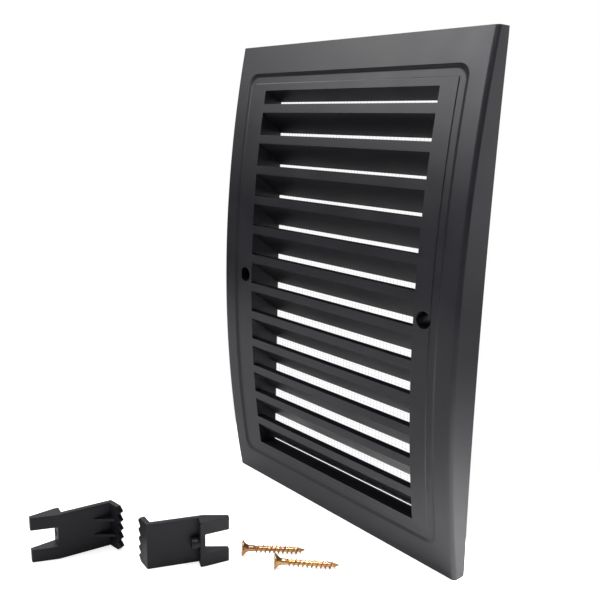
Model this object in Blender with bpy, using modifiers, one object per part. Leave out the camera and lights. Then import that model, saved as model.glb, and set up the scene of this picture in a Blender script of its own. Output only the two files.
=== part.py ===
"""Louvred wall vent grille with its insect net, and its loose fixing kit: two toothed clips, two screws.

Metres, +Z up. The grille stands upright with its face towards -Y and the wall behind it, at Y = 0.
The origin is the middle of the lower edge, where the back of the grille meets the wall.
The kit lies loose in front of the grille, on the plane that the lower edge stands on.
"""
import math

import bmesh
import bpy
from mathutils import Matrix, Vector

# Face moulding
HEIGHT = 0.250
WIDTH = 0.166
EDGE_DEPTH = 0.0073        # depth of the side wall at the top and bottom edges
FACE_BOW = 0.0129          # how far the face bulges forward at mid height
REAR_BOW = 0.0028          # how far the back edges of the side walls arch off the wall
WALL = 0.0024
EDGE_ROUND = 0.0018        # rounding between the face and its side walls
BOW_STEPS = 20             # facets of the bow from bottom to top
FLAT_BACK = 0.0040         # height of the flat strips, top and bottom, that touch the wall

# Stepped border of the face: a recessed band, then a panel raised half way back
BAND_HALF = (0.0722, 0.1097)     # half width and half height of the recessed band's outline
BAND_DEPTH = 0.0009
BAND_SLOPE = 0.0014
BAND_CORNER = 0.0055
PANEL_HALF = (0.0678, 0.1053)
PANEL_RISE = 0.00045
PANEL_SLOPE = 0.0006
PANEL_CORNER = 0.0006
PROUD = 0.0009                   # how far the border's tools stand out of the face, and past its depth

# Louvres
SLOT_COUNT = 13
SLOT_PITCH = 0.01628
SLOT_HEIGHT = 0.01223
SLOT_HALF_WIDTH = 0.0585
TOP_SLOT_TOP = 0.23179           # where the first slot would start if it were as tall as the others
FIELD_TOP = 0.2269
FIELD_BOTTOM = 0.0236
TOP_SLOT_DROP = 0.0059
BLADE_DROP = 0.0103              # fall of a blade from its lip to its back edge, at the ends of the bow
BLADE_DROP_BOW = 0.0040          # more fall where the bow is deeper
BLADE_DROP_LOW = 0.0032          # and more again towards the bottom
FLOOR_FALL = 0.0011              # fall of the duct's floor from front to back
LIP_DEPTH = 0.0045
BLADE_THICKNESS = 0.0021         # measured up and down
DUCT_WALL = 0.0024
SLOT_FRONT, SLOT_BACK = -0.030, 0.006   # where the tools that cut the slots begin and end

# Screw sockets
SOCKET_X = 0.0642
SOCKET_Z = 0.1259
SOCKET_BORE = 0.0041
SOCKET_RADIUS = 0.0053
SOCKET_BACK = -0.0050
SOCKET_FLOOR = 0.0020
SCREW_CLEARANCE = 0.0023

# Insect net
NET_GAP = 0.0003
NET_THICKNESS = 0.0005
NET_CELLS = (10, 17)
NET_STRAND = 0.0010

# Fixing clip, standing on one long edge
CLIP_WIDTH = 0.0235
CLIP_WALL = 0.0024
CLIP_PLATE = 0.0253
CLIP_STEP = 0.0075
CLIP_PRONG = 0.0120
CLIP_PRONG_WIDTH = 0.0066
CLIP_PRONG_TIP = (0.0032, 0.0056)       # depths of the two sides of a prong's end, below the plate
CLIP_FLANGE = 0.0095
CLIP_FLANGE_TURN = math.radians(107)
CLIP_TEETH = 5
CLIP_TOOTH_DEPTH = 0.0024
CLIP_GUSSET = (0.0085, 0.0050, 0.0014)  # length along the plate, height up the flange, thickness
CLIP_GUSSET_PLACES = (0.32, 0.68)       # parts of the clip's width
CLIP_BOSS_RADIUS = 0.0026
CLIP_BOSS_LENGTH = 0.0040
CLIP_HOLE_RADIUS = 0.0016
TOOL_INSET = 0.00001                    # keeps joined shapes from sharing a plane
CLIP_OVERRUN = 0.001                    # how far the tool of the clip's hole runs past both ends

# Countersunk screw
SCREW_LENGTH = 0.0320
HEAD_RADIUS = 0.0040
HEAD_RIM = 0.0004
HEAD_HEIGHT = 0.0030
SHANK_RADIUS = 0.00150
CORE_RADIUS = 0.00125
THREAD_RADIUS = 0.00210
THREAD_PITCH = 0.0022
THREAD_START = 0.0068
THREAD_CRESTS = 10
CREST_HALF = 0.2                 # half of a crest's foot, as a part of the pitch
RECESS_DEPTH = 0.0022
RECESS_ARM = 0.0021
RECESS_HALF_WIDTH = 0.0004

# Where the kit lies: X, Y and heading of each piece
CLIP_PLACES = {"fixing_clip_a": (-0.0483, -0.1166, 260.0), "fixing_clip_b": (-0.0193, -0.1107, 66.0)}
SCREW_PLACES = {"fixing_screw_a": (0.0013, -0.0711, 53.7), "fixing_screw_b": (0.0203, -0.0661, 50.5)}

MID = HEIGHT / 2


def bulge(z):
    """0 at the top and bottom edges and 1 at mid height, along a shallow arc."""
    return 1.0 - ((z - MID) / MID) ** 2


def face_y(z):
    return -(EDGE_DEPTH + FACE_BOW * bulge(z))


def rear_y(z):
    """The back edges of the side walls arch between the flat strips at the top and bottom."""
    return -REAR_BOW * max(0.0, 1.0 - ((z - MID) / (MID - FLAT_BACK)) ** 2)


def clear_scene():
    for old in list(bpy.data.objects):
        bpy.data.objects.remove(old, do_unlink=True)


def new_collection(name):
    collection = bpy.data.collections.new(name)
    bpy.context.scene.collection.children.link(collection)
    return collection


def material(name, colour, roughness, metallic=0.0):
    made = bpy.data.materials.new(name)
    made.use_nodes = True
    shader = made.node_tree.nodes["Principled BSDF"]
    shader.inputs["Base Color"].default_value = (*colour, 1.0)
    shader.inputs["Roughness"].default_value = roughness
    shader.inputs["Metallic"].default_value = metallic
    return made


def mesh_object(name, bm, collection):
    """Turns a bmesh into an object, with its faces pointing out."""
    bmesh.ops.recalc_face_normals(bm, faces=bm.faces)
    mesh = bpy.data.meshes.new(name)
    bm.to_mesh(mesh)
    bm.free()
    made = bpy.data.objects.new(name, mesh)
    collection.objects.link(made)
    return made


def cutter_style(made):
    made.hide_render = True
    made.display_type = "WIRE"
    return made


def combine(target, tool, operation):
    """Adds or cuts one shape, keeps the result as the target's own mesh and drops the tool."""
    step = target.modifiers.new(tool.name, "BOOLEAN")
    step.operation = operation
    step.solver = "EXACT"
    step.object = tool
    depsgraph = bpy.context.evaluated_depsgraph_get()
    mesh = bpy.data.meshes.new_from_object(target.evaluated_get(depsgraph))
    target.modifiers.clear()
    target.data = mesh
    bpy.data.objects.remove(tool, do_unlink=True)
    return target


def box_bmesh(low, high):
    bm = bmesh.new()
    bmesh.ops.create_cube(bm, size=1.0)
    low, high = Vector(low), Vector(high)
    bmesh.ops.scale(bm, vec=high - low, verts=bm.verts)
    bmesh.ops.translate(bm, vec=(low + high) / 2, verts=bm.verts)
    return bm


def slice_for_bow(bm):
    """Cuts a mesh at every step of the bow, so that it can follow the arc."""
    levels = [HEIGHT * step / BOW_STEPS for step in range(1, BOW_STEPS)]
    for z in [FLAT_BACK] + levels + [HEIGHT - FLAT_BACK]:
        geometry = bm.verts[:] + bm.edges[:] + bm.faces[:]
        bmesh.ops.bisect_plane(bm, geom=geometry, dist=1e-7, plane_co=(0, 0, z), plane_no=(0, 0, 1))


def bowed_box(name, half_width, z_range, front, back, collection, edge_round=0.0):
    """A block whose front and back each follow their own curve over the height."""
    bm = box_bmesh((-half_width, -1, z_range[0]), (half_width, 1, z_range[1]))
    slice_for_bow(bm)
    for vert in bm.verts:
        vert.co.y = front(vert.co.z) if vert.co.y < 0 else back(vert.co.z)
    if edge_round:
        upright = [edge for edge in bm.edges if is_front_side_edge(edge, half_width)]
        bmesh.ops.bevel(bm, geom=upright, offset=edge_round, segments=3, profile=0.5,
                        affect="EDGES", material=-1)
    return mesh_object(name, bm, collection)


def is_front_side_edge(edge, half_width):
    ends = [vert.co for vert in edge.verts]
    at_side = all(abs(abs(co.x) - half_width) < 1e-6 for co in ends)
    in_front = all(co.y < face_y(co.z) + 1e-5 for co in ends)
    return at_side and in_front


def prism(name, outline, half_depth, collection, turn=None):
    """A flat outline in X and Y, given thickness both ways along Z, then turned into place."""
    curve = bpy.data.curves.new(name, "CURVE")
    curve.dimensions = "2D"
    curve.fill_mode = "BOTH"
    curve.extrude = half_depth
    spline = curve.splines.new("POLY")
    spline.points.add(len(outline) - 1)
    for point, (x, y) in zip(spline.points, outline):
        point.co = (x, y, 0, 1)
    spline.use_cyclic_u = True
    drawn = bpy.data.objects.new(name + "_outline", curve)
    collection.objects.link(drawn)
    depsgraph = bpy.context.evaluated_depsgraph_get()
    mesh = bpy.data.meshes.new_from_object(drawn.evaluated_get(depsgraph))
    bpy.data.objects.remove(drawn, do_unlink=True)
    bm = bmesh.new()
    bm.from_mesh(mesh)
    bmesh.ops.remove_doubles(bm, verts=bm.verts, dist=1e-6)
    if turn is not None:
        bmesh.ops.transform(bm, matrix=turn, verts=bm.verts)
    return mesh_object(name, bm, collection)


def rod(name, radius, start, end, collection, segments=24):
    """A plain cylinder between two points."""
    start, end = Vector(start), Vector(end)
    bm = bmesh.new()
    bmesh.ops.create_cone(bm, cap_ends=True, segments=segments, radius1=radius, radius2=radius,
                          depth=(end - start).length)
    turn = (end - start).to_track_quat("Z", "Y").to_matrix().to_4x4()
    bmesh.ops.transform(bm, matrix=Matrix.Translation((start + end) / 2) @ turn, verts=bm.verts)
    return mesh_object(name, bm, collection)


def rounded_rectangle(half, corner, steps=4):
    """The outline of a rectangle about the origin with quarter circles at its corners."""
    points = []
    for quarter, (side_x, side_y) in enumerate(((1, 1), (-1, 1), (-1, -1), (1, -1))):
        for step in range(steps + 1):
            angle = math.radians(90) * (quarter + step / steps)
            points.append((side_x * (half[0] - corner) + corner * math.cos(angle),
                           side_y * (half[1] - corner) + corner * math.sin(angle)))
    return points


# Outlines are drawn in X and Y. These turn them to face along the axes of the grille.
FACE_ON = Matrix.Rotation(math.radians(90), 4, "X")                     # drawn upright, seen from the front
SIDE_ON = Matrix(((0, 0, 1, 0), (1, 0, 0, 0), (0, 1, 0, 0), (0, 0, 0, 1)))  # drawn in Y and Z


def bowed_plug(name, half, corner, slope, near, far, collection):
    """A slab with sloping sides that follows the bow of the face, from depth near to depth far.

    Its outline has the stated size at the middle of its depth, and is smaller at the far end by the slope.
    """
    middle = (near + far) / 2
    made = prism(name, rounded_rectangle(half, corner), (far - near) / 2, collection,
                 Matrix.Translation((0, middle, MID)) @ FACE_ON)
    bm = bmesh.new()
    bm.from_mesh(made.data)
    for vert in bm.verts:
        grow = slope / 2 if vert.co.y < middle else -slope / 2
        vert.co.x *= 1 + grow / half[0]
        vert.co.z = MID + (vert.co.z - MID) * (1 + grow / half[1])
    slice_for_bow(bm)
    for vert in bm.verts:
        vert.co.y += face_y(vert.co.z)
    bm.to_mesh(made.data)
    bm.free()
    return made


def cut_border(face, cutters):
    """The recessed band round the face, with the louvre panel standing half way up inside it."""
    band = bowed_plug("band_cutter", BAND_HALF, BAND_CORNER, BAND_SLOPE * 2, -PROUD, BAND_DEPTH, cutters)
    panel = bowed_plug("panel_keep", PANEL_HALF, PANEL_CORNER, -PANEL_SLOPE * 2,
                       BAND_DEPTH - PANEL_RISE, BAND_DEPTH + PROUD, cutters)
    combine(band, panel, "DIFFERENCE")
    combine(face, cutter_style(band), "DIFFERENCE")


def slot_edges(index):
    """Top and bottom of a slot where it meets the face."""
    top = TOP_SLOT_TOP - index * SLOT_PITCH
    bottom = top - SLOT_HEIGHT
    if index == SLOT_COUNT - 1:
        bottom = FIELD_BOTTOM
    return min(top, FIELD_TOP), bottom


def blade_drop(z):
    """How far a blade falls from the lower edge of its lip to its back edge: deeper blades fall further."""
    return BLADE_DROP + BLADE_DROP_BOW * bulge(z) + BLADE_DROP_LOW * (0.5 - z / HEIGHT)


def slot_outline(index):
    """The free space of one slot in Y and Z: under one blade, over the lip and the blade below."""
    top, bottom = slot_edges(index)
    tip = top - (TOP_SLOT_DROP if index == 0 else blade_drop(top))
    outline = [(SLOT_BACK, tip), (0, tip), (face_y(top), top), (SLOT_FRONT, top), (SLOT_FRONT, bottom)]
    if index == SLOT_COUNT - 1:
        floor_back = bottom - FLOOR_FALL
        return outline + [(face_y(bottom), bottom), (0, floor_back), (SLOT_BACK, floor_back)]
    next_top = slot_edges(index + 1)[0]
    next_drop = blade_drop(next_top)
    lip_back = face_y(next_top) + LIP_DEPTH
    blade_front = next_top + BLADE_THICKNESS - LIP_DEPTH * next_drop / -face_y(next_top)
    blade_back = next_top + BLADE_THICKNESS - next_drop
    return outline + [(lip_back, bottom), (lip_back, blade_front), (0, blade_back), (SLOT_BACK, blade_back)]


def make_face(parts, cutters, finish):
    """The one-piece moulding: bowed face, side walls, duct walls, louvres and screw sockets."""
    face = bowed_box("face_grille", WIDTH / 2, (0, HEIGHT), face_y, rear_y, parts, EDGE_ROUND)
    hollow = bowed_box("hollow", WIDTH / 2 - WALL, (WALL, HEIGHT - WALL),
                       lambda z: face_y(z) + WALL, lambda z: SLOT_BACK, cutters)
    combine(face, cutter_style(hollow), "DIFFERENCE")
    duct_range = (FIELD_BOTTOM - DUCT_WALL, FIELD_TOP + DUCT_WALL)
    duct = bowed_box("duct", SLOT_HALF_WIDTH + DUCT_WALL, duct_range,
                     lambda z: face_y(z) + WALL / 2, lambda z: 0.0, cutters)
    combine(face, duct, "UNION")
    socket_front = face_y(SOCKET_Z) + WALL / 2
    for side in (-1, 1):
        x = side * SOCKET_X
        socket = rod("socket", SOCKET_RADIUS, (x, socket_front, SOCKET_Z), (x, SOCKET_BACK, SOCKET_Z), cutters)
        combine(face, socket, "UNION")
    cut_border(face, cutters)
    for index in range(SLOT_COUNT):
        slot = prism("slot_cutter", slot_outline(index), SLOT_HALF_WIDTH, cutters, SIDE_ON)
        combine(face, cutter_style(slot), "DIFFERENCE")
    for side in (-1, 1):
        x = side * SOCKET_X
        floor_y = SOCKET_BACK - SOCKET_FLOOR
        for radius, end in ((SOCKET_BORE, floor_y), (SCREW_CLEARANCE, SLOT_BACK)):
            bore = rod("bore_cutter", radius, (x, SLOT_FRONT, SOCKET_Z), (x, end, SOCKET_Z), cutters)
            combine(face, cutter_style(bore), "DIFFERENCE")
    face.data.materials.clear()
    face.data.materials.append(finish)
    return face


def make_net(parts, finish):
    """The insect net behind the duct, drawn here with fewer and wider meshes than the real one."""
    half_x = SLOT_HALF_WIDTH + DUCT_WALL
    low, high = FIELD_BOTTOM - DUCT_WALL, FIELD_TOP + DUCT_WALL
    bm = bmesh.new()
    bmesh.ops.create_grid(bm, x_segments=NET_CELLS[0], y_segments=NET_CELLS[1], size=1.0)
    bmesh.ops.scale(bm, vec=(half_x, (high - low) / 2, 1), verts=bm.verts)
    bmesh.ops.transform(bm, matrix=FACE_ON, verts=bm.verts)
    bmesh.ops.translate(bm, vec=(0, NET_GAP + NET_THICKNESS / 2, (low + high) / 2), verts=bm.verts)
    rims = set(bmesh.ops.inset_individual(bm, faces=bm.faces[:], thickness=NET_STRAND / 2)["faces"])
    meshes = [face for face in bm.faces if face not in rims]
    bmesh.ops.delete(bm, geom=meshes, context="FACES")
    net = mesh_object("insect_net", bm, parts)
    thicken = net.modifiers.new("thickness", "SOLIDIFY")
    thicken.thickness = NET_THICKNESS
    thicken.offset = 0
    net.data.materials.append(finish)
    return net


def clip_tooth_outline():
    """The toothed flange laid flat: its length along X, the width of the clip along Y."""
    pitch = CLIP_WIDTH / CLIP_TEETH
    root = CLIP_FLANGE - CLIP_TOOTH_DEPTH
    outline = [(0, CLIP_WIDTH), (0, 0)]
    for tooth in range(CLIP_TEETH):
        outline += [(root, tooth * pitch), (CLIP_FLANGE, (tooth + 0.5) * pitch)]
    return outline + [(root, CLIP_WIDTH)]


def clip_bmesh(cutters):
    """One clip: a plate, a toothed flange turned to one side, a step to the other and two prongs."""
    half = CLIP_WIDTH / 2
    middle = Matrix.Translation((0, 0, half))
    plan = [(0, 0), (0, -CLIP_WALL), (CLIP_PLATE - CLIP_WALL, -CLIP_WALL),
            (CLIP_PLATE - CLIP_WALL, -CLIP_STEP), (CLIP_PLATE, -CLIP_STEP), (CLIP_PLATE, 0)]
    clip = prism("clip_body", plan, half, cutters, middle)
    lay_flange = (Matrix.Rotation(CLIP_FLANGE_TURN, 4, "Z")
                  @ Matrix.Translation((-CLIP_WALL / 3, CLIP_WALL / 2, 0))
                  @ Matrix.Rotation(math.radians(90), 4, "X"))
    combine(clip, prism("flange", clip_tooth_outline(), CLIP_WALL / 2, cutters, lay_flange), "UNION")
    root, prong_end = CLIP_PLATE - CLIP_WALL / 2, CLIP_PLATE + CLIP_PRONG
    prong = [(root, 0), (CLIP_PLATE, 0), (prong_end, -CLIP_PRONG_TIP[0]),
             (prong_end, -CLIP_PRONG_TIP[1]), (CLIP_PLATE, -CLIP_STEP), (root, -CLIP_STEP)]
    for centre in (CLIP_PRONG_WIDTH / 2, CLIP_WIDTH - CLIP_PRONG_WIDTH / 2):
        lift = Matrix.Translation((0, 0, centre))
        combine(clip, prism("prong", prong, CLIP_PRONG_WIDTH / 2 - TOOL_INSET, cutters, lift), "UNION")
    run, rise, thickness = CLIP_GUSSET
    gusset = [(-CLIP_WALL / 2, -CLIP_WALL / 2), (run, -CLIP_WALL / 2), (run, 0), (-CLIP_WALL / 2, rise)]
    for place in CLIP_GUSSET_PLACES:
        lift = Matrix.Translation((0, 0, CLIP_WIDTH * place))
        combine(clip, prism("gusset", gusset, thickness / 2, cutters, lift), "UNION")
    hole_y = -(CLIP_STEP - CLIP_BOSS_RADIUS) + TOOL_INSET
    boss_start = CLIP_PLATE - CLIP_WALL - CLIP_BOSS_LENGTH
    boss = rod("boss", CLIP_BOSS_RADIUS, (boss_start, hole_y, half), (root, hole_y, half), cutters, 16)
    combine(clip, boss, "UNION")
    bore = rod("clip_bore", CLIP_HOLE_RADIUS, (boss_start - CLIP_OVERRUN, hole_y, half),
               (CLIP_PLATE + CLIP_OVERRUN, hole_y, half), cutters, 16)
    combine(clip, cutter_style(bore), "DIFFERENCE")
    return clip


def make_clips(parts, cutters, finish):
    """Both clips share one mesh. Each stands on a long edge where it was put down."""
    pattern = clip_bmesh(cutters)
    pattern.data.materials.clear()
    pattern.data.materials.append(finish)
    for name, (x, y, heading) in CLIP_PLACES.items():
        clip = bpy.data.objects.new(name, pattern.data)
        clip.location = (x, y, 0)
        clip.rotation_euler = (0, 0, math.radians(heading))
        parts.objects.link(clip)
    bpy.data.objects.remove(pattern, do_unlink=True)


def screw_profile():
    """Half of the screw's section, radius and distance from the top of the head, from the top to the tip."""
    shank_end = THREAD_START - THREAD_PITCH / 2
    profile = [(0, 0), (HEAD_RADIUS, 0), (HEAD_RADIUS, HEAD_RIM), (SHANK_RADIUS, HEAD_HEIGHT),
               (SHANK_RADIUS, shank_end)]
    for crest in range(THREAD_CRESTS):
        along = THREAD_START + crest * THREAD_PITCH
        profile += [(CORE_RADIUS, along - THREAD_PITCH * CREST_HALF), (THREAD_RADIUS, along),
                    (CORE_RADIUS, along + THREAD_PITCH * CREST_HALF)]
    taper = THREAD_START + (THREAD_CRESTS - 0.5) * THREAD_PITCH
    return profile + [(CORE_RADIUS, taper), (0, SCREW_LENGTH)]


def make_screw(name, place, parts, cutters, finish):
    """A turned screw with a cross recess, lying on the rim of its head and the end of its thread."""
    bm = bmesh.new()
    verts = [bm.verts.new((radius, 0, -along)) for radius, along in screw_profile()]
    for above, below in zip(verts, verts[1:]):
        bm.edges.new((above, below))
    screw = mesh_object(name, bm, parts)
    turn = screw.modifiers.new("turned", "SCREW")
    turn.steps = turn.render_steps = 16
    turn.use_merge_vertices = True
    turn.merge_threshold = 0.000001
    depsgraph = bpy.context.evaluated_depsgraph_get()
    screw.data = bpy.data.meshes.new_from_object(screw.evaluated_get(depsgraph))
    screw.modifiers.clear()
    across, along = (RECESS_ARM, RECESS_HALF_WIDTH), (RECESS_HALF_WIDTH, RECESS_ARM)
    bars = [box_bmesh((-x, -y, -RECESS_DEPTH), (x, y, RECESS_DEPTH)) for x, y in (across, along)]
    cross = mesh_object("recess_cutter", bars[0], cutters)
    combine(cross, mesh_object("recess_bar", bars[1], cutters), "UNION")
    combine(screw, cutter_style(cross), "DIFFERENCE")
    screw.data.materials.clear()
    screw.data.materials.append(finish)
    screw.data.shade_smooth()
    screw.data.set_sharp_from_angle(angle=math.radians(40))
    last_crest = THREAD_START + (THREAD_CRESTS - 1) * THREAD_PITCH
    tilt = math.atan((HEAD_RADIUS - THREAD_RADIUS) / (last_crest - HEAD_RIM))
    x, y, heading = place
    screw.location = (x, y, HEAD_RADIUS * math.cos(tilt) + HEAD_RIM * math.sin(tilt))
    screw.rotation_euler = (0, math.radians(-90) + tilt, math.radians(heading))
    return screw


def main():
    clear_scene()
    parts = new_collection("louvred_grille")
    cutters = new_collection("cutters")
    anthracite = material("anthracite_plastic", (0.055, 0.055, 0.060), 0.45)
    black = material("black_plastic", (0.030, 0.027, 0.028), 0.50)
    nylon = material("net_nylon", (0.80, 0.80, 0.78), 0.60)
    zinc = material("yellow_zinc", (0.80, 0.60, 0.28), 0.30, 1.0)
    make_face(parts, cutters, anthracite)
    make_net(parts, nylon)
    make_clips(parts, cutters, black)
    for name, place in SCREW_PLACES.items():
        make_screw(name, place, parts, cutters, zinc)


main()
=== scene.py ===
# %% [markdown]
# # A louvred vent grille and its loose fixing kit
# The grille is a bowed plastic moulding that stands on its lower edge. In front of it lie two black
# clips with toothed ends and two yellow screws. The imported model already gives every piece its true
# size and place, so this lesson only makes the visible surfaces finer and gives them their finish.

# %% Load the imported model
import math

import bmesh
import bpy
from mathutils import Matrix, Vector


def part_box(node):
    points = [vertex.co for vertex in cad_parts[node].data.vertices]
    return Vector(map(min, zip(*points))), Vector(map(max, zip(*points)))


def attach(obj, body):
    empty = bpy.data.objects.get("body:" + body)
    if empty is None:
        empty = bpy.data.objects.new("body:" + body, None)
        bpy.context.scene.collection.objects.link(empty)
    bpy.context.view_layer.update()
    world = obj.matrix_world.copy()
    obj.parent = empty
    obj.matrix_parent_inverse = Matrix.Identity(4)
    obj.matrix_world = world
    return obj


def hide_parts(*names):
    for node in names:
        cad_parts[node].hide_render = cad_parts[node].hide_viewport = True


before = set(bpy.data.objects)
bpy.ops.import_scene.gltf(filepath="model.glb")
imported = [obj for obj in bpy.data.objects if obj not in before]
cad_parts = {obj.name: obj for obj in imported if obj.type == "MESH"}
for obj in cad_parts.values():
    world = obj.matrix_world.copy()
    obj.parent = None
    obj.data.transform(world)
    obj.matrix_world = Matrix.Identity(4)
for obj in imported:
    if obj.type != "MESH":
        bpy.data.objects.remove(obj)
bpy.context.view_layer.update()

print("nodes:", ", ".join(sorted(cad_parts)))

# %% [markdown]
# ## Measures of the face
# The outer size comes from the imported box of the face. The bow is a shallow arc from the lower edge
# to the upper one. Two small functions say where the front and the back of the moulding are at any
# height, and every later step asks them, so the lips, the bands and the sockets all follow one curve.

# %% Outer size and the two curves
face_low, face_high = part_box("face_grille")
WIDTH = face_high[0] - face_low[0]
HEIGHT = face_high[2] - face_low[2]
EDGE_DEPTH = 0.0073
FACE_BOW = 0.0129
REAR_BOW = 0.0028
FLAT_BACK = 0.0040
WALL = 0.0024
MID = HEIGHT / 2


def bulge(z):
    """0 at the lower and upper edges, 1 at mid height."""
    return 1.0 - ((z - MID) / MID) ** 2


def face_y(z):
    return -(EDGE_DEPTH + FACE_BOW * bulge(z))


def rear_y(z):
    return -REAR_BOW * max(0.0, 1.0 - ((z - MID) / (MID - FLAT_BACK)) ** 2)


print(f"face {WIDTH * 1000:.0f} x {HEIGHT * 1000:.0f} mm, bowed {FACE_BOW * 1000:.1f} mm")

# %% [markdown]
# ## Measures of the louvres
# Thirteen slots follow each other at an even pitch. The first and the last one are cut short by the
# ends of the field. Each blade falls from its lip towards the wall, and the deeper blades in the
# middle of the bow fall a little further.

# %% Where each slot starts and ends
SLOT_COUNT = 13
SLOT_PITCH = 0.01628
SLOT_HEIGHT = 0.01223
SLOT_HALF_WIDTH = 0.0585
TOP_SLOT_TOP = 0.23179
FIELD_TOP = 0.2269
FIELD_BOTTOM = 0.0236
TOP_SLOT_DROP = 0.0059
BLADE_DROP, BLADE_DROP_BOW, BLADE_DROP_LOW = 0.0103, 0.0040, 0.0032
FLOOR_FALL = 0.0011
LIP_DEPTH = 0.0045
BLADE_THICKNESS = 0.0021


def slot_edges(index):
    top = TOP_SLOT_TOP - index * SLOT_PITCH
    bottom = FIELD_BOTTOM if index == SLOT_COUNT - 1 else top - SLOT_HEIGHT
    return min(top, FIELD_TOP), bottom


def blade_drop(z):
    return BLADE_DROP + BLADE_DROP_BOW * bulge(z) + BLADE_DROP_LOW * (0.5 - z / HEIGHT)


print("slot tops (mm):", [round(slot_edges(index)[0] * 1000, 1) for index in range(SLOT_COUNT)])

# %% [markdown]
# ## Helpers for solid shapes
# Each shape starts from a bmesh operator: a cube, a cone or a flat outline that is extruded. A
# moulding with many openings is easiest as a block that is carved, as a mould maker carves a model,
# so one helper joins or cuts two closed shapes and keeps the result.

# %% Mesh helpers
def to_object(name, bm):
    """Stores a bmesh as an object at the origin, with its faces pointing out."""
    bmesh.ops.recalc_face_normals(bm, faces=bm.faces)
    mesh = bpy.data.meshes.new(name)
    bm.to_mesh(mesh)
    bm.free()
    made = bpy.data.objects.new(name, mesh)
    bpy.context.scene.collection.objects.link(made)
    return made


def settled(made):
    """Works out the object's modifiers and keeps the result as its own mesh."""
    depsgraph = bpy.context.evaluated_depsgraph_get()
    mesh = bpy.data.meshes.new_from_object(made.evaluated_get(depsgraph))
    made.modifiers.clear()
    made.data = mesh
    return made


def carve(body, tool, operation="DIFFERENCE"):
    """Cuts a tool out of a body, or joins it on, and removes the tool."""
    step = body.modifiers.new("carve", "BOOLEAN")
    step.operation = operation
    step.solver = "EXACT"
    step.object = tool
    settled(body)
    bpy.data.objects.remove(tool, do_unlink=True)
    return body


def block(low, high):
    bm = bmesh.new()
    bmesh.ops.create_cube(bm, size=1.0)
    low, high = Vector(low), Vector(high)
    bmesh.ops.scale(bm, vec=high - low, verts=bm.verts)
    bmesh.ops.translate(bm, vec=(low + high) / 2, verts=bm.verts)
    return bm


def extruded(outline, depth, turn):
    """A flat outline in X and Y, extruded upwards by a depth, then turned into place."""
    bm = bmesh.new()
    base = bm.faces.new([bm.verts.new((x, y, 0)) for x, y in outline])
    grown = bmesh.ops.extrude_face_region(bm, geom=[base])["geom"]
    lifted = [item for item in grown if isinstance(item, bmesh.types.BMVert)]
    bmesh.ops.translate(bm, vec=(0, 0, depth), verts=lifted)
    bmesh.ops.transform(bm, matrix=turn, verts=bm.verts)
    bmesh.ops.recalc_face_normals(bm, faces=bm.faces)
    return bm


def rod(start, end, radius, end_radius=None, segments=48):
    """A cylinder, or a cone, between two points."""
    start, end = Vector(start), Vector(end)
    bm = bmesh.new()
    bmesh.ops.create_cone(bm, cap_ends=True, segments=segments, radius1=radius,
                          radius2=radius if end_radius is None else end_radius, depth=(end - start).length)
    turn = (end - start).to_track_quat("Z", "Y").to_matrix().to_4x4()
    bmesh.ops.transform(bm, matrix=Matrix.Translation((start + end) / 2) @ turn, verts=bm.verts)
    return bm


def round_edges(bm, edges, width, segments):
    bmesh.ops.bevel(bm, geom=edges, offset=width, offset_type="OFFSET", segments=segments, profile=0.5,
                    affect="EDGES", clamp_overlap=True, material=-1)


def shade(made, crease_angle):
    """Smooth shading led by the large faces, with sharp edges where the shape turns quickly."""
    made.data.shade_smooth()
    made.data.set_sharp_from_angle(angle=math.radians(crease_angle))
    led = made.modifiers.new("led_by_large_faces", "WEIGHTED_NORMAL")
    led.keep_sharp = True
    return settled(made)


print("helpers ready")

# %% [markdown]
# ## The face block
# The moulding is one piece. A block sliced into thin levels follows the arc closely, so reflections
# slide along it without facets. The levels keep clear of the slots' edges, which are rounded later.
# The block's upright front edges are softly rounded and its upper and lower ones nearly sharp.

# %% A block that follows the bow
LEVELS_PER_PITCH = 4
FIRST_LEVEL = TOP_SLOT_TOP - 0.0020
SIDE_ROUND = 0.0021
END_ROUND = 0.0005
OPEN_BACK = 0.010  # past the rear edge, so that the hollow is open there
FACING_SIDE, FACING_END = 0.9, 0.95


def bow_levels():
    """Heights of the levels: four to a slot, and on through the plain margins above and below."""
    step = SLOT_PITCH / LEVELS_PER_PITCH
    above = int((HEIGHT - FIRST_LEVEL) / step)
    count = int(HEIGHT / step)
    levels = [FIRST_LEVEL + (above - index) * step for index in range(count + 1)]
    inside = [z for z in levels if FLAT_BACK + step / 2 < z < HEIGHT - FLAT_BACK - step / 2]
    return [FLAT_BACK] + inside + [HEIGHT - FLAT_BACK]


def sliced(bm):
    for z in bow_levels():
        bmesh.ops.bisect_plane(bm, geom=bm.verts[:] + bm.edges[:] + bm.faces[:], dist=1e-7,
                               plane_co=(0, 0, z), plane_no=(0, 0, 1))
    return bm


def bowed_block(half_width, z_low, z_high, front, back):
    bm = sliced(block((-half_width, -1, z_low), (half_width, 1, z_high)))
    for vert in bm.verts:
        vert.co.y = front(vert.co.z) if vert.co.y < 0 else back(vert.co.z)
    bm.normal_update()
    return bm


def front_edges(bm, is_side):
    """Edges between the front and a side face that passes the test."""
    def joins(edge):
        normals = [face.normal for face in edge.link_faces]
        return any(is_side(normal) for normal in normals) and any(normal.y < -0.7 for normal in normals)
    return [edge for edge in bm.edges if joins(edge)]


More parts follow.
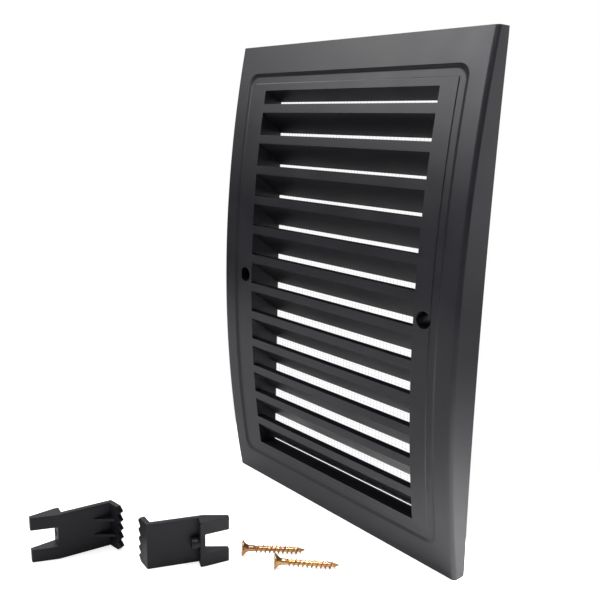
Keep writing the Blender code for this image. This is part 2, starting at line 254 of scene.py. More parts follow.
shell = bowed_block(WIDTH / 2, 0.0, HEIGHT, face_y, rear_y)
round_edges(shell, front_edges(shell, lambda normal: abs(normal.x) > FACING_SIDE), SIDE_ROUND, segments=7)
round_edges(shell, front_edges(shell, lambda normal: abs(normal.z) > FACING_END), END_ROUND, segments=3)
face = to_object("louvred_face", shell)
hollow = bowed_block(WIDTH / 2 - WALL, WALL, HEIGHT - WALL, lambda z: face_y(z) + WALL,
                     lambda z: OPEN_BACK)
carve(face, to_object("hollow", hollow))
print("face block:", len(face.data.polygons), "faces over", len(bow_levels()), "levels")

# %% [markdown]
# ## Duct wall and screw sockets
# Behind the slots a rectangular duct runs back to the wall. Beside it, at mid height, two round
# sockets take the heads of the fixing screws. They are added as solid blocks here and opened later.

# %% Duct and sockets
DUCT_WALL = 0.0024
SOCKET_X, SOCKET_Z = 0.0642, 0.1259
SOCKET_RADIUS = 0.0053
SOCKET_BACK = -0.0050

duct = bowed_block(SLOT_HALF_WIDTH + DUCT_WALL, FIELD_BOTTOM - DUCT_WALL, FIELD_TOP + DUCT_WALL,
                   lambda z: face_y(z) + WALL / 2, lambda z: 0.0)
carve(face, to_object("duct", duct), "UNION")
for side in (-1, 1):
    x = side * SOCKET_X
    socket = rod((x, face_y(SOCKET_Z) + WALL / 2, SOCKET_Z), (x, SOCKET_BACK, SOCKET_Z), SOCKET_RADIUS)
    carve(face, to_object("socket", socket), "UNION")
print("with duct and sockets:", len(face.data.polygons), "faces")

# %% [markdown]
# ## The stepped border
# A shallow band with rounded corners is let into the face, and inside it the louvre panel comes half
# way back out with square corners. The outer step is a soft slope and the inner one is a fine line.
# The cutting plug is a rounded rectangle extruded in rings, each a little smaller and deeper along an
# S curve, and the whole plug is then bent along the bow.

# %% Band and panel
BAND_HALF = (0.0722, 0.1097)
BAND_DEPTH, BAND_SLOPE, BAND_CORNER = 0.0009, 0.0026, 0.0058
PANEL_HALF = (0.0678, 0.1053)
PANEL_RISE, PANEL_SLOPE, PANEL_CORNER = 0.00040, 0.0005, 0.0006
SLOPE_RINGS = 8
PROUD = 0.0009


def rounded_rectangle(half, corner, steps=8):
    points = []
    for quarter, (side_x, side_z) in enumerate(((1, 1), (-1, 1), (-1, -1), (1, -1))):
        for step in range(steps + 1):
            angle = math.radians(90) * (quarter + step / steps)
            points.append((side_x * (half[0] - corner) + corner * math.cos(angle),
                           side_z * (half[1] - corner) + corner * math.sin(angle)))
    return points


def bowed_plug(name, half, corner, rings):
    """Each ring is (depth, growth): the outline grows or shrinks as it goes deeper, then it is bent."""
    bm = bmesh.new()
    last = bm.faces.new([bm.verts.new((x, rings[0][0], z)) for x, z in rounded_rectangle(half, corner)])
    for index in range(1, len(rings)):
        grown = bmesh.ops.extrude_face_region(bm, geom=[last])["geom"]
        if index > 1:
            bm.faces.remove(last)
        last = next(item for item in grown if isinstance(item, bmesh.types.BMFace))
        bmesh.ops.translate(bm, vec=(0, rings[index][0] - rings[index - 1][0], 0), verts=last.verts)
    for vert in bm.verts:
        growth = min(rings, key=lambda ring: abs(ring[0] - vert.co.y))[1]
        vert.co.x *= 1 + growth / half[0]
        vert.co.z = MID + vert.co.z * (1 + growth / half[1])
    sliced(bm)
    for vert in bm.verts:
        vert.co.y += face_y(vert.co.z)
    return to_object(name, bm)


def soft_step(near, far, width):
    """Rings down an S-shaped slope, from depth near to depth far, that narrows by the width."""
    rings = []
    for ring in range(1, SLOPE_RINGS):
        part = ring / SLOPE_RINGS
        rings.append((near + (far - near) * part * part * (3 - 2 * part), width * (0.5 - part)))
    return rings


band_rings = soft_step(0.0, BAND_DEPTH, BAND_SLOPE)
band_rings = [(-PROUD, band_rings[0][1])] + band_rings + [(BAND_DEPTH, -BAND_SLOPE / 2)]
panel_rings = soft_step(BAND_DEPTH - PANEL_RISE, BAND_DEPTH, -PANEL_SLOPE)
panel_rings = [(BAND_DEPTH - PANEL_RISE, -PANEL_SLOPE / 2)] + panel_rings
panel_rings += [(BAND_DEPTH + PROUD, panel_rings[-1][1])]
border = bowed_plug("band_plug", BAND_HALF, BAND_CORNER, band_rings)
carve(border, bowed_plug("panel_plug", PANEL_HALF, PANEL_CORNER, panel_rings))
carve(face, border)
print("with its stepped border:", len(face.data.polygons), "faces")

# %% [markdown]
# ## The slots
# One outline in the side view describes the free space of a slot: under one blade, over the lip and
# the next blade. Extruded across the field it becomes the tool that opens the slot. The upper ends of
# each slot are rounded, where the lip above runs into the frame with a small curve.

# %% Thirteen slots
SLOT_FRONT, SLOT_BACK = -0.030, 0.006
SLOT_CORNER = 0.0009
SIDE_ON = Matrix(((0, 0, 1, 0), (1, 0, 0, 0), (0, 1, 0, 0), (0, 0, 0, 1)))  # drawn in Y and Z


def slot_outline(index):
    top, bottom = slot_edges(index)
    tip = top - (TOP_SLOT_DROP if index == 0 else blade_drop(top))
    outline = [(SLOT_BACK, tip), (0, tip), (face_y(top), top), (SLOT_FRONT, top), (SLOT_FRONT, bottom)]
    if index == SLOT_COUNT - 1:
        floor_back = bottom - FLOOR_FALL
        return outline + [(face_y(bottom), bottom), (0, floor_back), (SLOT_BACK, floor_back)]
    next_top = slot_edges(index + 1)[0]
    next_drop = blade_drop(next_top)
    lip_back = face_y(next_top) + LIP_DEPTH
    blade_front = next_top + BLADE_THICKNESS - LIP_DEPTH * next_drop / -face_y(next_top)
    blade_back = next_top + BLADE_THICKNESS - next_drop
    return outline + [(lip_back, bottom), (lip_back, blade_front), (0, blade_back), (SLOT_BACK, blade_back)]


def slot_tool(index):
    top = slot_edges(index)[0]
    turn = Matrix.Translation((-SLOT_HALF_WIDTH, 0, 0)) @ SIDE_ON
    bm = extruded(slot_outline(index), 2 * SLOT_HALF_WIDTH, turn)
    corners = {(round(y, 6), round(top, 6)) for y in (SLOT_FRONT, face_y(top))}

    def at_upper_end(edge):
        ends = [vert.co for vert in edge.verts]
        across = abs(ends[0].x - ends[1].x) > 1e-6
        return not across and {(round(co.y, 6), round(co.z, 6)) for co in ends} == corners

    round_edges(bm, [edge for edge in bm.edges if at_upper_end(edge)], SLOT_CORNER, segments=5)
    return to_object("slot_tool", bm)


for index in range(SLOT_COUNT):
    carve(face, slot_tool(index))
print("with", SLOT_COUNT, "slots:", len(face.data.polygons), "faces")

# %% [markdown]
# ## Screw holes and soft rims
# Each socket is bored from the front in two diameters and its mouth is flared a little. Then every
# edge where a slot breaks the surface gets a fine rounding, because a moulded edge is never quite
# sharp and catches a thin line of light.

# %% Bores and rims
SOCKET_BORE, SOCKET_FLOOR, SCREW_CLEARANCE = 0.0040, 0.0020, 0.0023
BORE_BACK = 0.005
MOUTH_RADIUS, MOUTH_END_RADIUS = 0.0044, 0.0036
MOUTH_PROUD, MOUTH_DEPTH = 0.0004, 0.0009
WELD = 2e-6
RIM_TURN = math.radians(35)
RIM_ROUND = 0.00080
SIDE_TOLERANCE, FIELD_TOLERANCE = 1e-5, 1e-4

for side in (-1, 1):
    x = side * SOCKET_X
    surface = face_y(SOCKET_Z)
    floor_y = SOCKET_BACK - SOCKET_FLOOR
    wide = rod((x, SLOT_FRONT, SOCKET_Z), (x, floor_y, SOCKET_Z), SOCKET_BORE, segments=64)
    carve(face, to_object("bore", wide))
    carve(face, to_object("bore", rod((x, SLOT_FRONT, SOCKET_Z), (x, BORE_BACK, SOCKET_Z), SCREW_CLEARANCE)))
    mouth = rod((x, surface - MOUTH_PROUD, SOCKET_Z), (x, surface + MOUTH_DEPTH, SOCKET_Z),
                MOUTH_RADIUS, MOUTH_END_RADIUS, 64)
    carve(face, to_object("mouth", mouth))

bm = bmesh.new()
bm.from_mesh(face.data)
bmesh.ops.remove_doubles(bm, verts=bm.verts, dist=WELD)
bmesh.ops.dissolve_degenerate(bm, edges=bm.edges, dist=WELD)
bm.normal_update()
print("before rims:", sum(1 for edge in bm.edges if not edge.is_manifold), "open edges")


def is_slot_rim(edge):
    """An edge of the field that lies in the face's surface, where the surface turns sharply."""
    if len(edge.link_faces) != 2 or edge.calc_face_angle() < RIM_TURN:
        return False
    for vert in edge.verts:
        depth = vert.co.y - face_y(vert.co.z)
        if abs(vert.co.x) > SLOT_HALF_WIDTH + SIDE_TOLERANCE or not -SIDE_TOLERANCE < depth < BAND_DEPTH:
            return False
        if not FIELD_BOTTOM - FIELD_TOLERANCE < vert.co.z < FIELD_TOP + FIELD_TOLERANCE:
            return False
    return True


rims = [edge for edge in bm.edges if is_slot_rim(edge)]
round_edges(bm, rims, RIM_ROUND, segments=4)
print("rounded", len(rims), "rim edges,", sum(1 for edge in bm.edges if not edge.is_manifold), "open edges")
bm.to_mesh(face.data)
bm.free()
shade(face, crease_angle=24)

# %% [markdown]
# ## Insect net
# A fine moulded net closes the back of the duct. A flat grid, inset cell by cell and given thickness,
# makes all of its strands at once and keeps them one closed piece. Its finish is nearly clear, which
# is only a choice of look that keeps the slots reading as open: a real net would be opaque.

# %% Net
NET_PITCH = 0.0023
NET_STRAND = 0.00020
NET_THICKNESS = 0.00025
FACE_ON = Matrix.Rotation(math.radians(90), 4, "X")

net_low, net_high = (Vector(corner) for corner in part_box("insect_net"))
net_size = net_high - net_low
cells = (round(net_size.x / NET_PITCH), round(net_size.z / NET_PITCH))
bm = bmesh.new()
bmesh.ops.create_grid(bm, x_segments=cells[0], y_segments=cells[1], size=1.0)
bmesh.ops.scale(bm, vec=(net_size.x / 2, net_size.z / 2, 1), verts=bm.verts)
bmesh.ops.transform(bm, matrix=Matrix.Translation((net_low + net_high) / 2) @ FACE_ON, verts=bm.verts)
rims = set(bmesh.ops.inset_individual(bm, faces=bm.faces[:], thickness=NET_STRAND / 2)["faces"])
bmesh.ops.delete(bm, geom=[cell for cell in bm.faces if cell not in rims], context="FACES")
net = to_object("fine_net", bm)
thicken = net.modifiers.new("thickness", "SOLIDIFY")
thicken.thickness = NET_THICKNESS
thicken.offset = 0
settled(net)
print("net of", cells[0], "x", cells[1], "meshes")

# %% [markdown]
# ## Fixing clips
# A clip is a short plate with a toothed flange turned to one side, a step to the other and a fork of
# two wedge-shaped prongs. Two gussets stiffen the corner of the flange, and a small bored boss takes
# the screw. All outlines are extruded and joined, and then every edge is slightly rounded.

# %% One clip in its own frame
CLIP_WIDTH = 0.0235
CLIP_WALL = 0.0024
CLIP_PLATE = 0.0253
CLIP_STEP = 0.0075
CLIP_PRONG = 0.0120
CLIP_PRONG_WIDTH = 0.0066
PRONG_TIP = (0.0032, 0.0056)
CLIP_FLANGE = 0.0095
CLIP_FLANGE_TURN = math.radians(107)
CLIP_HEEL = CLIP_WALL / math.tan(CLIP_FLANGE_TURN / 2)
CLIP_TEETH = 5
CLIP_TOOTH_DEPTH = 0.0024
GUSSET_RUN, GUSSET_RISE, GUSSET_THICKNESS = 0.0085, 0.0050, 0.0014
GUSSET_PLACES = (0.32, 0.68)
BOSS_RADIUS, BOSS_LENGTH, HOLE_RADIUS = 0.0026, 0.0040, 0.0016
BOSS_INSET, HOLE_OVERRUN = 0.0001, 0.001
CLIP_EDGE_TURN = math.radians(30)
CLIP_EDGE_ROUND = 0.00022


def toothed_outline():
    """The flange laid flat: its length along X, the width of the clip along Y."""
    pitch = CLIP_WIDTH / CLIP_TEETH
    root = CLIP_FLANGE - CLIP_TOOTH_DEPTH
    outline = [(0, CLIP_WIDTH), (0, 0)]
    for tooth in range(CLIP_TEETH):
        outline += [(root, tooth * pitch), (CLIP_FLANGE, (tooth + 0.5) * pitch)]
    return outline + [(root, CLIP_WIDTH)]


def clip_solid():
    """A plan view extruded over the width, with the flange, prongs, gussets and boss joined on."""
    flange_back = (-CLIP_WALL * math.sin(CLIP_FLANGE_TURN), CLIP_WALL * math.cos(CLIP_FLANGE_TURN))
    plan = [(0, 0), flange_back, (-CLIP_HEEL, -CLIP_WALL), (CLIP_PLATE - CLIP_WALL, -CLIP_WALL),
            (CLIP_PLATE - CLIP_WALL, -CLIP_STEP), (CLIP_PLATE, -CLIP_STEP), (CLIP_PLATE, 0)]
    clip = to_object("clip", extruded(plan, CLIP_WIDTH, Matrix.Identity(4)))
    lay_flange = (Matrix.Rotation(CLIP_FLANGE_TURN, 4, "Z")
                  @ Matrix.Translation((-CLIP_WALL / 3, CLIP_WALL, 0)) @ FACE_ON)
    carve(clip, to_object("flange", extruded(toothed_outline(), CLIP_WALL, lay_flange)), "UNION")
    root = CLIP_PLATE - CLIP_WALL / 2
    prong = [(root, 0), (CLIP_PLATE, 0), (CLIP_PLATE + CLIP_PRONG, -PRONG_TIP[0]),
             (CLIP_PLATE + CLIP_PRONG, -PRONG_TIP[1]), (CLIP_PLATE, -CLIP_STEP), (root, -CLIP_STEP)]
    for foot in (0, CLIP_WIDTH - CLIP_PRONG_WIDTH):
        lift = Matrix.Translation((0, 0, foot))
        carve(clip, to_object("prong", extruded(prong, CLIP_PRONG_WIDTH, lift)), "UNION")
    gusset = [(-CLIP_WALL / 2, -CLIP_WALL / 2), (GUSSET_RUN, -CLIP_WALL / 2), (GUSSET_RUN, 0),
              (-CLIP_WALL / 2, GUSSET_RISE)]
    for place in GUSSET_PLACES:
        lift = Matrix.Translation((0, 0, CLIP_WIDTH * place - GUSSET_THICKNESS / 2))
        carve(clip, to_object("gusset", extruded(gusset, GUSSET_THICKNESS, lift)), "UNION")
    hole_y, half = BOSS_RADIUS - CLIP_STEP + BOSS_INSET, CLIP_WIDTH / 2
    boss_start = CLIP_PLATE - CLIP_WALL - BOSS_LENGTH
    boss = rod((boss_start, hole_y, half), (root, hole_y, half), BOSS_RADIUS, segments=32)
    carve(clip, to_object("boss", boss), "UNION")
    bore = rod((boss_start - HOLE_OVERRUN, hole_y, half), (CLIP_PLATE + HOLE_OVERRUN, hole_y, half),
               HOLE_RADIUS, segments=32)
    return carve(clip, to_object("bore", bore))


pattern = clip_solid()
bm = bmesh.new()
bm.from_mesh(pattern.data)
bmesh.ops.remove_doubles(bm, verts=bm.verts, dist=WELD)
bmesh.ops.dissolve_limit(bm, angle_limit=math.radians(1), verts=bm.verts, edges=bm.edges)
bm.normal_update()
turning = [edge for edge in bm.edges if edge.is_manifold and edge.calc_face_angle() > CLIP_EDGE_TURN]
round_edges(bm, turning, CLIP_EDGE_ROUND, segments=3)
bm.to_mesh(pattern.data)
bm.free()
print("clip:", len(pattern.data.polygons), "faces")

# %% [markdown]
# ## Laying a piece in its place
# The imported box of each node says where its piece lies. A copy of the pattern is turned to its
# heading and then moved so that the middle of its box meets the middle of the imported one.

# %% Place the clips
CLIP_HEADINGS = {"fixing_clip_a": 260.0, "fixing_clip_b": 66.0}


def laid(pattern, name, node, turn):
    """A turned copy of the pattern, moved to the middle of the node's packed box."""
    mesh = pattern.data.copy()
    mesh.transform(turn)
    low = Vector([min(vert.co[axis] for vert in mesh.vertices) for axis in range(3)])
    high = Vector([max(vert.co[axis] for vert in mesh.vertices) for axis in range(3)])
    node_low, node_high = (Vector(corner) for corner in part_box(node))
    mesh.transform(Matrix.Translation((node_low + node_high - low - high) / 2))
    made = bpy.data.objects.new(name, mesh)
    bpy.context.scene.collection.objects.link(made)
    return made


clips = {}
for node, heading in CLIP_HEADINGS.items():
    turn = Matrix.Rotation(math.radians(heading), 4, "Z")
    clips[node] = shade(laid(pattern, node.replace("fixing", "moulded"), node, turn), crease_angle=30)
bpy.data.objects.remove(pattern, do_unlink=True)
print("placed", ", ".join(piece.name for piece in clips.values()))

# %% [markdown]
# ## Screws
# The body of a screw is a profile spun once about its axis. Its thread is a small ridge spun along a
# helix, lower at both ends and joined to the body, so the crests slope as real ones do. A cross
# recess is cut in the head.

# %% One screw in its own frame, its axis along Z and its head on top
SCREW_LENGTH = 0.0320
HEAD_RADIUS, HEAD_RIM = 0.0040, 0.0004
SHANK_RADIUS, CORE_RADIUS, THREAD_RADIUS = 0.00150, 0.00120, 0.00210
THREAD_PITCH, THREAD_START, THREAD_TURNS = 0.0022, 0.0060, 10.9
RIDGE_SUNK = 0.0003
RIDGE_HALF, RIDGE_CREST = 0.17, 0.22  # shares of the pitch, and of that half
RIDGE_LOWEST = 0.3
FADE_IN, FADE_OUT = 0.5, 1.2  # turns
FLARE_END, SHANK_END, TIP_START = 0.0042, 0.0062, 0.0270
FLARE_STEPS, FLARE_CURVE = 9, 2.2
HEAD_EDGE = (0.0003, 0.0002)
SHOULDER = 0.0005
POINT_RADIUS, POINT_PLACE = 0.55, 0.955  # shares of the core and of the length
RECESS_ARM, RECESS_HALF, RECESS_DEPTH = 0.0021, 0.0004, 0.0022
RECESS_TAPER, RECESS_PROUD = 0.55, 0.001
STEPS_PER_TURN = 28


def spun(profile, steps=48):
    bm = bmesh.new()
    verts = [bm.verts.new((radius, 0, z)) for radius, z in profile]
    edges = [bm.edges.new(pair) for pair in zip(verts, verts[1:])]
    bmesh.ops.spin(bm, geom=verts + edges, cent=(0, 0, 0), axis=(0, 0, 1), dvec=(0, 0, 0),
                   angle=math.radians(360), steps=steps, use_merge=True)
    bmesh.ops.remove_doubles(bm, verts=bm.verts, dist=1e-6)
    return bm


def thread_ridge():
    """A ridge along a helix, down to RIDGE_LOWEST of its height at the two ends."""
    foot = CORE_RADIUS - RIDGE_SUNK
    half = THREAD_PITCH * RIDGE_HALF
    section = [(foot, half), (CORE_RADIUS, half), (THREAD_RADIUS, half * RIDGE_CREST),
               (THREAD_RADIUS, -half * RIDGE_CREST), (CORE_RADIUS, -half), (foot, -half)]
    bm = bmesh.new()
    ring = bm.faces.new([bm.verts.new((radius, 0, z)) for radius, z in section])
    steps = int(THREAD_TURNS * STEPS_PER_TURN)
    bmesh.ops.spin(bm, geom=[ring], cent=(0, 0, 0), axis=(0, 0, 1),
                   dvec=(0, 0, -THREAD_PITCH / STEPS_PER_TURN), angle=math.radians(360) * THREAD_TURNS,
                   steps=steps)
    length = THREAD_PITCH * THREAD_TURNS
    for vert in bm.verts:
        radius = math.hypot(vert.co.x, vert.co.y)
        along = -vert.co.z
        near_end = (length - along) / (THREAD_PITCH * FADE_OUT)
        fade = max(0.0, min(1.0, along / (THREAD_PITCH * FADE_IN), near_end))
        if radius > CORE_RADIUS + 1e-6:
            wanted = foot + (radius - foot) * (RIDGE_LOWEST + (1 - RIDGE_LOWEST) * fade)
            vert.co.x *= wanted / radius
            vert.co.y *= wanted / radius
    bmesh.ops.translate(bm, vec=(0, 0, -THREAD_START), verts=bm.verts)
    return bm


def flare(step):
    """The underside of the head curves in like a trumpet, from the rim to the shank."""
    part = step / FLARE_STEPS
    return (SHANK_RADIUS + (HEAD_RADIUS - SHANK_RADIUS) * (1 - part) ** FLARE_CURVE,
            -(HEAD_RIM + (FLARE_END - HEAD_RIM) * part))


head = [(0, 0.0), (HEAD_RADIUS - HEAD_EDGE[0], 0.0), (HEAD_RADIUS, -HEAD_EDGE[1])]
head += [flare(step) for step in range(FLARE_STEPS + 1)]
body = head + [(SHANK_RADIUS, -SHANK_END), (CORE_RADIUS, -SHANK_END - SHOULDER), (CORE_RADIUS, -TIP_START),
               (CORE_RADIUS * POINT_RADIUS, -SCREW_LENGTH * POINT_PLACE), (0, -SCREW_LENGTH)]
screw_pattern = to_object("screw", spun(body))
carve(screw_pattern, to_object("thread", thread_ridge()), "UNION")
for arm in ((RECESS_ARM, RECESS_HALF), (RECESS_HALF, RECESS_ARM)):
    bar = block((-arm[0], -arm[1], -RECESS_DEPTH), (arm[0], arm[1], RECESS_PROUD))
    for vert in bar.verts:
        if vert.co.z < 0:
            vert.co.x *= RECESS_TAPER if arm[0] > arm[1] else 1
            vert.co.y *= RECESS_TAPER if arm[1] > arm[0] else 1
    carve(screw_pattern, to_object("recess", bar))
print("screw:", len(screw_pattern.data.polygons), "faces")

# %% [markdown]
# ## Laying the screws down
# A screw on a flat surface rests on the rim of its head and on the last crest of its thread, so its
# axis dips a little towards the point.

# %% Place the screws
SCREW_HEADINGS = {"fixing_screw_a": 53.7, "fixing_screw_b": 50.5}
LAST_CREST = 0.0266
SCREW_TILT = math.atan((HEAD_RADIUS - THREAD_RADIUS) / (LAST_CREST - HEAD_RIM))

screws = {}
for node, heading in SCREW_HEADINGS.items():
    turn = (Matrix.Rotation(math.radians(heading), 4, "Z")
            @ Matrix.Rotation(math.radians(-90) + SCREW_TILT, 4, "Y"))
    screws[node] = shade(laid(screw_pattern, node.replace("fixing", "yellow"), node, turn), crease_angle=38)
bpy.data.objects.remove(screw_pattern, do_unlink=True)
print("placed", ", ".join(piece.name for piece in screws.values()))

# %% [markdown]
# ## Plastics
# The face is a satin, almost black plastic with a very fine grain, and the clips are a plainer black
# one. Noise at two scales does the work: the large one moves the roughness a little, as handling and
# moulding do, and the fine one is the grain, used as a bump.

# %% Plastic finishes
BROAD_SCALE = 45.0
GRAIN_STRENGTH = 0.6
NOISE_LOW, NOISE_HIGH = 0.3, 0.7
BLEND_LOW, BLEND_HIGH = 0.35, 0.65
NET_OPACITY = 0.08


def noise(tree, coordinates, scale, detail=2.0):
    made = tree.nodes.new("ShaderNodeTexNoise")
    made.inputs["Scale"].default_value = scale
    made.inputs["Detail"].default_value = detail
    tree.links.new(coordinates, made.inputs["Vector"])
    return made.outputs["Fac"]


def ranged(tree, value, low, high):
    """Spreads a noise between two limits."""
    made = tree.nodes.new("ShaderNodeMapRange")
    made.inputs["From Min"].default_value = NOISE_LOW
    made.inputs["From Max"].default_value = NOISE_HIGH
    made.inputs["To Min"].default_value = low
    made.inputs["To Max"].default_value = high
    tree.links.new(value, made.inputs["Value"])
    return made.outputs["Result"]


def mixed_colour(tree, value, low, high):
    """Blends two colours by a noise."""
    made = tree.nodes.new("ShaderNodeValToRGB")
    made.color_ramp.elements[0].position = BLEND_LOW
    made.color_ramp.elements[0].color = (*low, 1)
    made.color_ramp.elements[1].position = BLEND_HIGH
    made.color_ramp.elements[1].color = (*high, 1)
    tree.links.new(value, made.inputs["Fac"])
    return made.outputs["Color"]


def bumped(tree, shader, height, strength, distance):
    """Raises the surface by a noise."""
    bump = tree.nodes.new("ShaderNodeBump")
    bump.inputs["Strength"].default_value = strength
    bump.inputs["Distance"].default_value = distance
    tree.links.new(height, bump.inputs["Height"])
    tree.links.new(bump.outputs["Normal"], shader.inputs["Normal"])


def grained(name, dark, light, roughness, grain_scale, grain_height, specular=0.5):
    """A plastic whose colour and roughness drift slowly, with a fine raised grain."""
    finish = bpy.data.materials.new(name)
    finish.use_nodes = True
    tree = finish.node_tree
    shader = tree.nodes["Principled BSDF"]
    shader.inputs["Specular IOR Level"].default_value = specular
    coordinates = tree.nodes.new("ShaderNodeTexCoord").outputs["Object"]
    broad = noise(tree, coordinates, BROAD_SCALE, 3.0)
    tree.links.new(mixed_colour(tree, broad, dark, light), shader.inputs["Base Color"])
    tree.links.new(ranged(tree, broad, *roughness), shader.inputs["Roughness"])
    bumped(tree, shader, noise(tree, coordinates, grain_scale, 3.0), GRAIN_STRENGTH, grain_height)
    return finish


anthracite = grained("anthracite_plastic", dark=(0.0085, 0.0080, 0.0120), light=(0.011, 0.0105, 0.0150),
                     roughness=(0.33, 0.41), grain_scale=2600.0, grain_height=0.00004)
black = grained("black_clip_plastic", dark=(0.0085, 0.0075, 0.0110), light=(0.012, 0.0105, 0.0145),
                roughness=(0.38, 0.50), grain_scale=1800.0, grain_height=0.00003, specular=0.36)
nylon = grained("pale_nylon", dark=(0.80, 0.80, 0.78), light=(0.88, 0.88, 0.86),
                roughness=(0.45, 0.60), grain_scale=3000.0, grain_height=0.00001)
nylon.node_tree.nodes["Principled BSDF"].inputs["Alpha"].default_value = NET_OPACITY
print("plastics:", anthracite.name, black.name, nylon.name)

# %% [markdown]
# ## Yellow zinc
# Passivated zinc is a metal whose thin film shifts between straw yellow, gold and a faint rose. Two
# noises blend three tints, and a fine bump gives the slightly uneven plated skin.

# %% Zinc finish
TINTS = ((0.32, (0.50, 0.29, 0.11)), (0.5, (0.53, 0.32, 0.13)), (0.68, (0.54, 0.24, 0.15)))
FILM_SCALE, WEAR_SCALE, SKIN_SCALE = 260.0, 900.0, 2200.0
SKIN_STRENGTH, SKIN_HEIGHT = 0.4, 0.00003
ZINC_ROUGHNESS = (0.30, 0.42)

zinc = bpy.data.materials.new("yellow_zinc")
zinc.use_nodes = True
tree = zinc.node_tree
shader = tree.nodes["Principled BSDF"]
shader.inputs["Metallic"].default_value = 1.0
coordinates = tree.nodes.new("ShaderNodeTexCoord").outputs["Object"]
film = noise(tree, coordinates, FILM_SCALE, 2.0)
tints = tree.nodes.new("ShaderNodeValToRGB")
tints.color_ramp.elements.new(0.5)
for element, (place, tint) in zip(tints.color_ramp.elements, TINTS):
    element.position = place
    element.color = (*tint, 1)
tree.links.new(film, tints.inputs["Fac"])
tree.links.new(tints.outputs["Color"], shader.inputs["Base Color"])
wear = noise(tree, coordinates, WEAR_SCALE)
tree.links.new(ranged(tree, wear, *ZINC_ROUGHNESS), shader.inputs["Roughness"])
bumped(tree, shader, noise(tree, coordinates, SKIN_SCALE), SKIN_STRENGTH, SKIN_HEIGHT)
print("zinc ready")

# %% [markdown]
# ## Each piece on its body
# A piece rides on the body whose node it stands for, so it moves when that body moves. The imported
# node it stands for is hidden.

# %% Ride, replace and finish
def fit(piece, finish, body, node):
    """Gives a piece its finish, hangs it on its body and hides the imported node it stands for."""
    piece.data.materials.clear()
    piece.data.materials.append(finish)
    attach(piece, body)
    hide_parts(node)


fit(face, anthracite, "grille", "face_grille")
fit(net, nylon, "grille", "insect_net")
for node, piece in clips.items():
    fit(piece, black, node.replace("fixing_", ""), node)
for node, piece in screws.items():
    fit(piece, zinc, node.replace("fixing_", ""), node)
print("fitted", 2 + len(clips) + len(screws), "pieces")

# %% [markdown]
# ## Floor, light and world
# Dark satin plastic shows little colour of its own, so its look is made by what it mirrors. The top
# of the bow mirrors a bright panel high on the front left, the middle mirrors the dim zone under the
# horizon, and the foot mirrors the pale floor, which a lamp overhead makes brightest on the right. A
# weak panel at the back right gives the flank its even tone, and one high on the left touches the
# upper edges of the lips. The floor ends just behind the grille, except past its right flank, so that
# the undersides of the blades mirror shade.

# %% Floor
CENTRE = Vector((0, 0, 0.12))
FLOOR_REACH = 0.42
FLOOR_BACK_LEFT, FLOOR_BACK_RIGHT = 0.03, 0.30
FLOOR_SIDE = 0.075
FLOOR_THICKNESS, FLOOR_LOW = 0.0038, -0.0040
FLOOR_GLOW = 0.75  # seen by the camera only

floor_outline = [(-FLOOR_REACH, -FLOOR_REACH), (FLOOR_REACH, -FLOOR_REACH),
                 (FLOOR_REACH, FLOOR_BACK_RIGHT), (FLOOR_SIDE, FLOOR_BACK_RIGHT),
                 (FLOOR_SIDE, FLOOR_BACK_LEFT), (-FLOOR_REACH, FLOOR_BACK_LEFT)]
floor_place = Matrix.Translation((0, 0, FLOOR_LOW))
floor = to_object("floor", extruded(floor_outline, FLOOR_THICKNESS, floor_place))
pale = bpy.data.materials.new("pale_floor")
pale.use_nodes = True
pale_shader = pale.node_tree.nodes["Principled BSDF"]
pale_shader.inputs["Base Color"].default_value = (0.90, 0.90, 0.90, 1)
pale_shader.inputs["Roughness"].default_value = 0.8
pale_shader.inputs["Emission Color"].default_value = (1, 1, 1, 1)
seen = pale.node_tree.nodes.new("ShaderNodeLightPath")
lift = pale.node_tree.nodes.new("ShaderNodeMath")
lift.operation = "MULTIPLY"
lift.inputs[1].default_value = FLOOR_GLOW
pale.node_tree.links.new(seen.outputs["Is Camera Ray"], lift.inputs[0])
pale.node_tree.links.new(lift.outputs["Value"], pale_shader.inputs["Emission Strength"])
floor.data.materials.append(pale)


def softbox(name, heading, height, distance, size, radiance, target=CENTRE):
    """A panel of light seen from the target at a heading from +Y, towards +X, and a height, in degrees."""
    heading, height = math.radians(heading), math.radians(height)
    level = math.cos(height)
    away = Vector((math.sin(heading) * level, math.cos(heading) * level, math.sin(height)))
    data = bpy.data.lights.new(name, "AREA")
    data.shape = "RECTANGLE"
    data.size, data.size_y = size
    data.energy = radiance * math.pi * size[0] * size[1]
    made = bpy.data.objects.new(name, data)
    made.location = target + away * distance
    made.rotation_euler = (-away).to_track_quat("-Z", "Y").to_euler()
    bpy.context.scene.collection.objects.link(made)
    return made


softbox("high_front_panel", heading=-147, height=34, distance=1.4, size=(0.90, 0.9), radiance=4.7)
softbox("edge_panel", heading=-88, height=46, distance=1.2, size=(0.8, 0.5), radiance=5.0)
softbox("flank_panel", heading=38, height=5, distance=1.1, size=(0.6, 0.6), radiance=1.0)
floor_lamp = softbox("floor_lamp", heading=0, height=90, distance=0.50, size=(0.12, 0.10), radiance=10.5,
                     target=Vector((0.15, -0.01, 0)))
floor_lamp.data.spread = math.radians(40)

# %% World
# Grey levels from straight down, over the horizon at 0.5, to straight up.
SKY = ((0.0, 0.45), (0.18, 0.30), (0.25, 0.07), (0.46, 0.09), (0.50, 0.16), (0.60, 0.22), (1.0, 0.35))

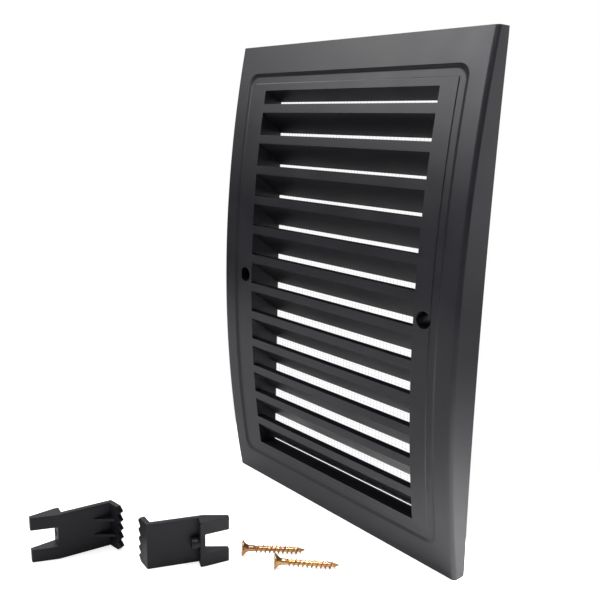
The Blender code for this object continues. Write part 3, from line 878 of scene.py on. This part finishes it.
world = bpy.data.worlds.new("studio")
bpy.context.scene.world = world
world.use_nodes = True
sky = world.node_tree
split = sky.nodes.new("ShaderNodeSeparateXYZ")
sky.links.new(sky.nodes.new("ShaderNodeTexCoord").outputs["Generated"], split.inputs["Vector"])
upward = sky.nodes.new("ShaderNodeMapRange")
upward.inputs["From Min"].default_value = -1.0
sky.links.new(split.outputs["Z"], upward.inputs["Value"])
shades = sky.nodes.new("ShaderNodeValToRGB")
while len(shades.color_ramp.elements) < len(SKY):
    shades.color_ramp.elements.new(0.5)
for element, (place, grey) in zip(shades.color_ramp.elements, SKY):
    element.position = place
    element.color = (grey, grey, grey * 1.04, 1)
sky.links.new(upward.outputs["Result"], shades.inputs["Fac"])
lighting = sky.nodes["Background"]
sky.links.new(shades.outputs["Color"], lighting.inputs["Color"])
backdrop = sky.nodes.new("ShaderNodeBackground")
backdrop.inputs["Color"].default_value = (1, 1, 1, 1)
choose = sky.nodes.new("ShaderNodeMixShader")
sky.links.new(sky.nodes.new("ShaderNodeLightPath").outputs["Is Camera Ray"], choose.inputs["Fac"])
sky.links.new(lighting.outputs["Background"], choose.inputs[1])
sky.links.new(backdrop.outputs["Background"], choose.inputs[2])
sky.links.new(choose.outputs["Shader"], sky.nodes["World Output"].inputs["Surface"])
bpy.context.scene.view_settings.view_transform = "Standard"
print("stage ready")

# %% [markdown]
# ## Camera
# The camera stands to the front right of the grille, a little above its middle, and leans very
# slightly, with the lens of an ordinary close view.

# %% Camera
CAMERA_PLACE = Vector((0.26376, -0.27432, 0.20784))
CAMERA_AZIMUTH, CAMERA_DIP, CAMERA_ROLL = 47.83, 13.08, 1.45
LENS = 44.58

azimuth, dip, roll = (math.radians(value) for value in (CAMERA_AZIMUTH, CAMERA_DIP, CAMERA_ROLL))
forward = Vector((-math.sin(azimuth) * math.cos(dip), math.cos(azimuth) * math.cos(dip), -math.sin(dip)))
right = Vector((math.cos(azimuth), math.sin(azimuth), 0))
up = right.cross(forward)
leaning_right = right * math.cos(roll) + up * math.sin(roll)
leaning_up = up * math.cos(roll) - right * math.sin(roll)
camera_data = bpy.data.cameras.new("camera")
camera_data.lens = LENS
camera_data.sensor_width = 36.0
camera = bpy.data.objects.new("camera", camera_data)
axes = Matrix((leaning_right, leaning_up, -forward)).transposed().to_4x4()
camera.matrix_world = Matrix.Translation(CAMERA_PLACE) @ axes
bpy.context.scene.collection.objects.link(camera)
bpy.context.scene.camera = camera
print("camera at", [round(value, 3) for value in CAMERA_PLACE])
